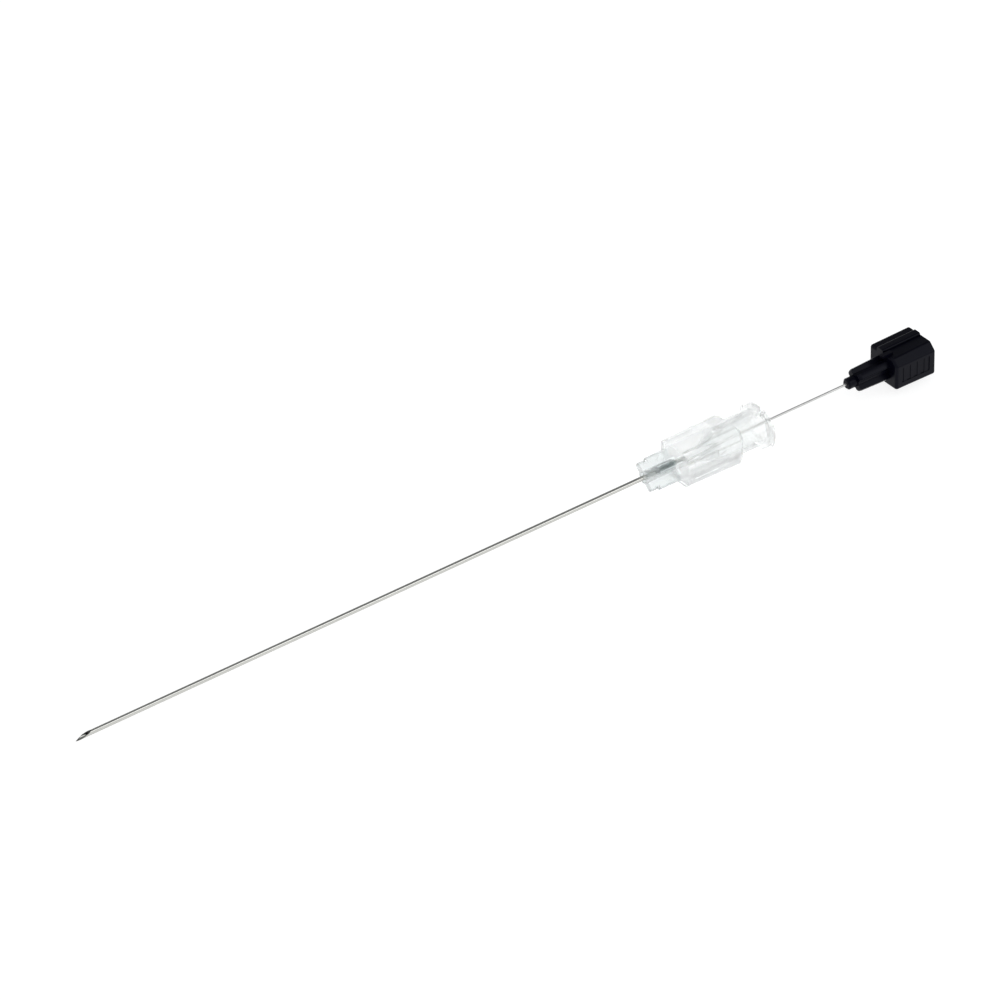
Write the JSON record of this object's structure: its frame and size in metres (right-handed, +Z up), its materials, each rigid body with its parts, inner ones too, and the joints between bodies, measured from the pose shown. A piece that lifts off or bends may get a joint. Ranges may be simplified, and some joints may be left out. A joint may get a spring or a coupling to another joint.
{
  "type": "spinal needle",
  "caption": "Long thin steel needle with a ground bevel in a clear hub with a tapered lock socket, and a keyed steel stylet on a black cap that slides in from behind.",
  "frame": {"origin": "on the needle's axis, where the steel tube leaves the hub's front face", "axes": "+X along the needle's axis from the point towards the stylet's cap, +Z up, towards the hub's key slot, and -Y the side seen in front"},
  "size_m": [0.1516, 0.0078, 0.0066],
  "materials": {
    "steel_tube": "drawn and polished stainless steel",
    "clear_plastic": "clear moulded plastic, smooth",
    "adhesive": "clear set adhesive",
    "steel_wire": "drawn stainless steel",
    "black_plastic": "black moulded plastic, satin"
  },
  "bodies": {
    "needle": {"cannula": "steel_tube", "hub": "clear_plastic", "bond": "adhesive"},
    "stylet": {"stylet_wire": "steel_wire", "stylet_cap": "black_plastic"}
  },
  "joints": [
    {"name": "stylet_slide", "type": "slide", "parent": "needle", "child": "stylet", "axis": [1, 0, 0], "range_m": [-0.02305, 0.1]}
  ]
}
